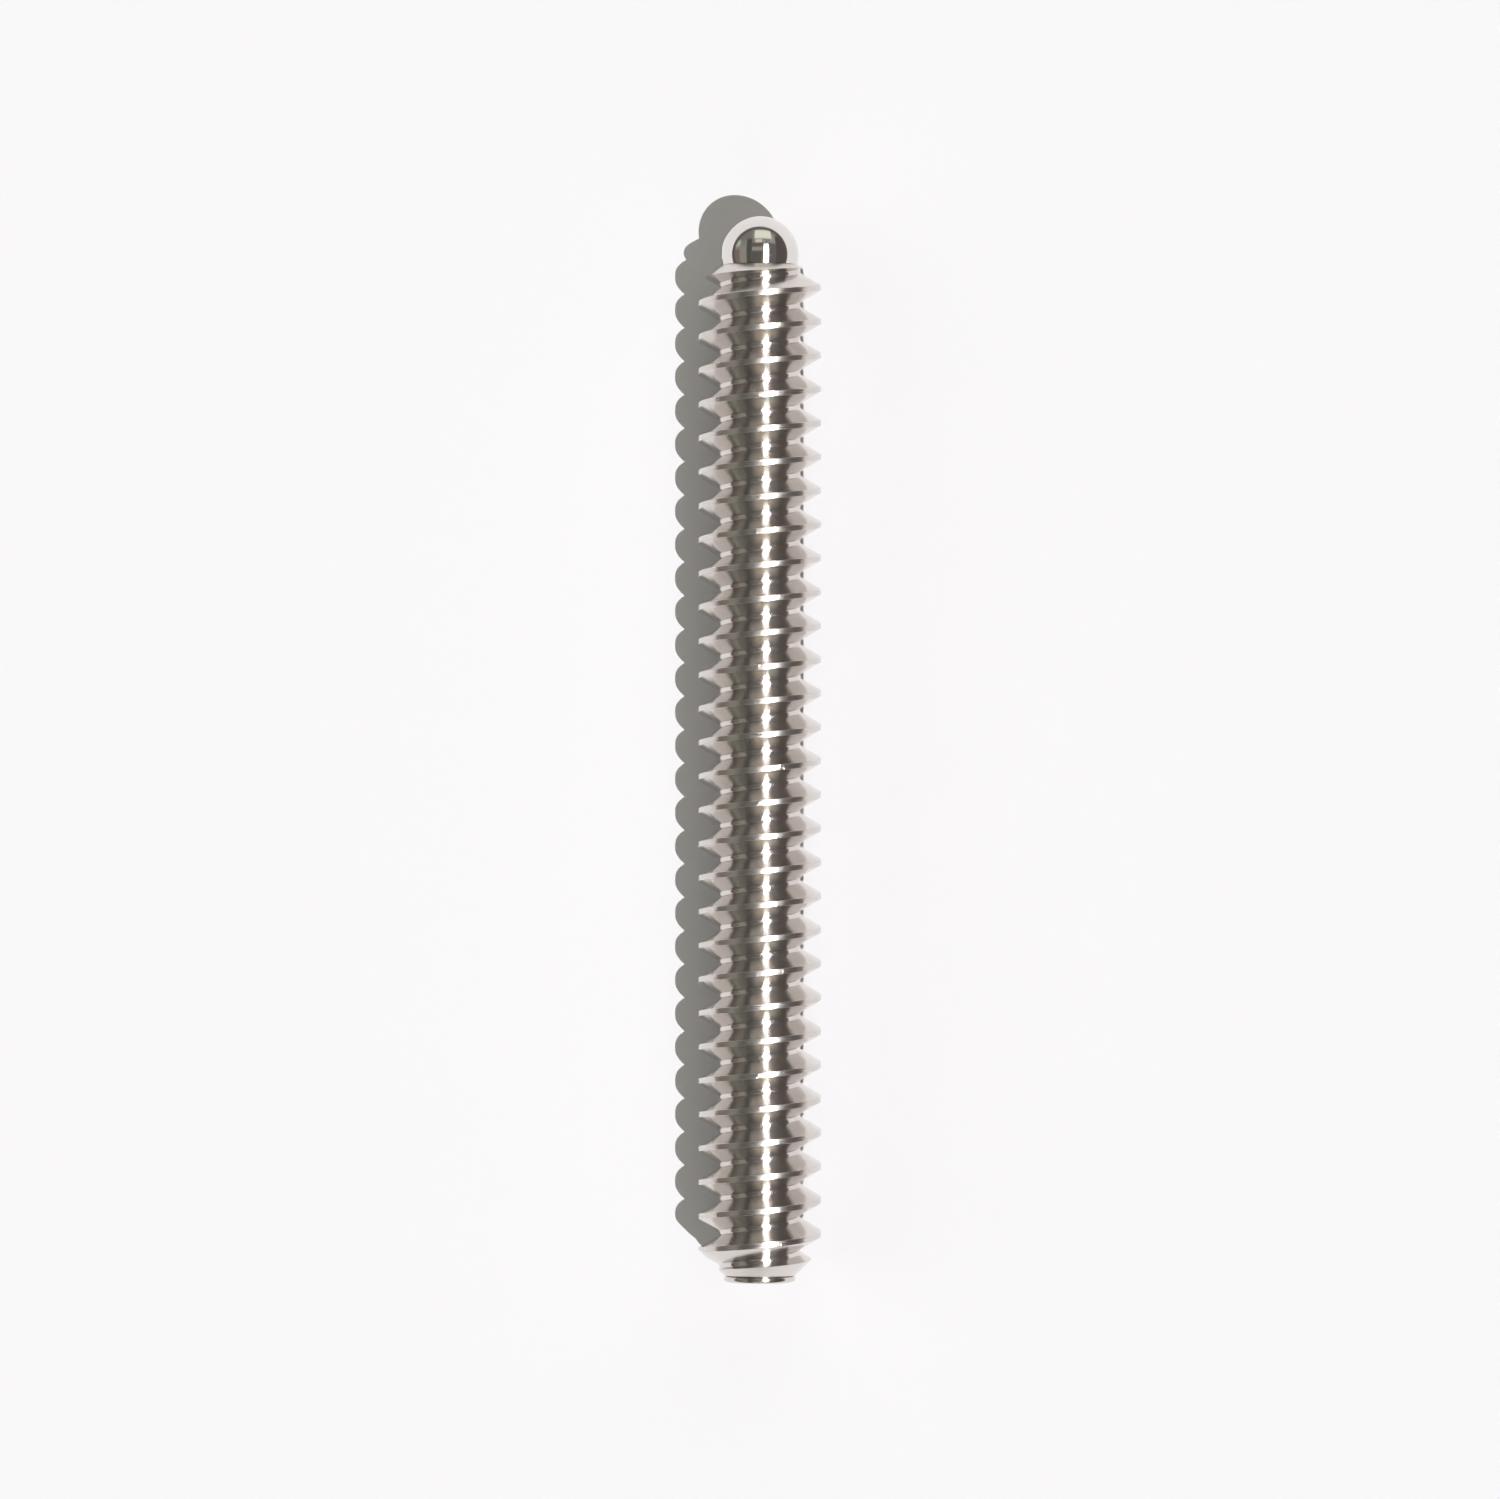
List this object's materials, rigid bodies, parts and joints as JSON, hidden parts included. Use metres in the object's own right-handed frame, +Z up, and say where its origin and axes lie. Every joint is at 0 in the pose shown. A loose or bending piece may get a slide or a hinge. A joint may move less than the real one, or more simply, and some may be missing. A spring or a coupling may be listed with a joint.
{
  "type": "ball-nose thrust screw",
  "caption": "Long headless stud with a coarse right-hand V thread, a sprung ball nose that turns at one end, and a rounded button plug with a hexagon socket at the other.",
  "frame": {"origin": "On the surface the stud lies on, under the middle of its length", "axes": "+Y along the thread axis towards the ball nose, +Z up, +X to the right seen from above with the nose ahead. The thread axis is 5 mm above the origin."},
  "size_m": [0.01, 0.0868, 0.01],
  "materials": {
    "polished_steel": "bright polished stainless",
    "ball_steel": "mirror polished, hardened",
    "plug_steel": "bright polished stainless",
    "ground_steel": "fine ground",
    "spring_steel": "drawn wire, oiled",
    "bearing_bronze": "fine turned bronze"
  },
  "bodies": {
    "barrel": {"threaded_body": "polished_steel", "guide_bush": "bearing_bronze", "compression_spring": "spring_steel", "guide_rod": "ground_steel", "tail_plug": "plug_steel"},
    "spring_follower": {"spring_cup": "ground_steel", "thrust_washer": "bearing_bronze"},
    "nose": {"nose_ball": "ball_steel", "plunger_stem": "ground_steel", "stop_ring": "spring_steel"}
  },
  "joints": [
    {"name": "nose_press", "type": "slide", "parent": "barrel", "child": "spring_follower", "axis": [0, -1, 0], "range_m": [0, 0.0004], "stiffness_N_per_m": 330, "springref_m": -0.0005, "deforming": ["compression_spring"]},
    {"name": "nose_spin", "type": "hinge", "parent": "spring_follower", "child": "nose", "pos_m": [0, 0.04021, 0.005], "axis": [0, 1, 0], "continuous": true}
  ]
}
